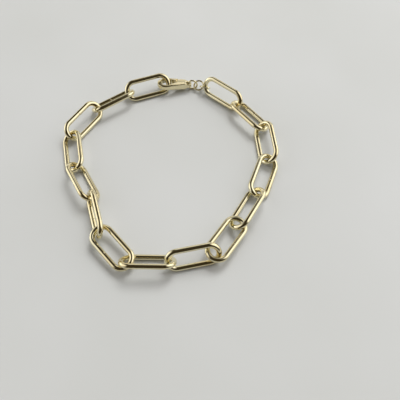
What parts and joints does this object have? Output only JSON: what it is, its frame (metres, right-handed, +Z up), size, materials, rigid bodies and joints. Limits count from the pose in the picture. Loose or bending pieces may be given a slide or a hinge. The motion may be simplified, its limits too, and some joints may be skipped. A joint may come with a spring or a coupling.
{
  "type": "link bracelet",
  "caption": "Chain bracelet of long oval wire links with a lobster clasp and small joining rings, fastened and lying in a loop.",
  "frame": {"origin": "middle of the bounding box's footprint, on the surface that the bracelet lies on", "axes": "+Z up from the surface; +Y towards the side of the loop with the clasp; +X to the right as the picture sees it"},
  "size_m": [0.065, 0.0682, 0.0065],
  "materials": {
    "polished_gold": "polished"
  },
  "bodies": {
    "bracelet": {"link_01": "polished_gold", "link_02": "polished_gold", "link_03": "polished_gold", "link_04": "polished_gold", "link_05": "polished_gold", "link_06": "polished_gold", "link_07": "polished_gold", "link_08": "polished_gold", "link_09": "polished_gold", "link_10": "polished_gold", "link_11": "polished_gold", "link_12": "polished_gold", "link_13": "polished_gold", "link_14": "polished_gold", "link_15": "polished_gold", "small_ring_1": "polished_gold", "small_ring_2": "polished_gold", "small_ring_3": "polished_gold", "clasp_body": "polished_gold"},
    "lever": {"clasp_lever": "polished_gold"}
  },
  "joints": [
    {"name": "lever_hinge", "type": "hinge", "parent": "bracelet", "child": "lever", "pos_m": [0.00375, 0.03202, 0.00178], "axis": [0.0852, 0.2079, 0.9744], "range_deg": [0, 40], "stiffness_Nm_per_rad": 0.0005, "springref_deg": -20.05}
  ]
}
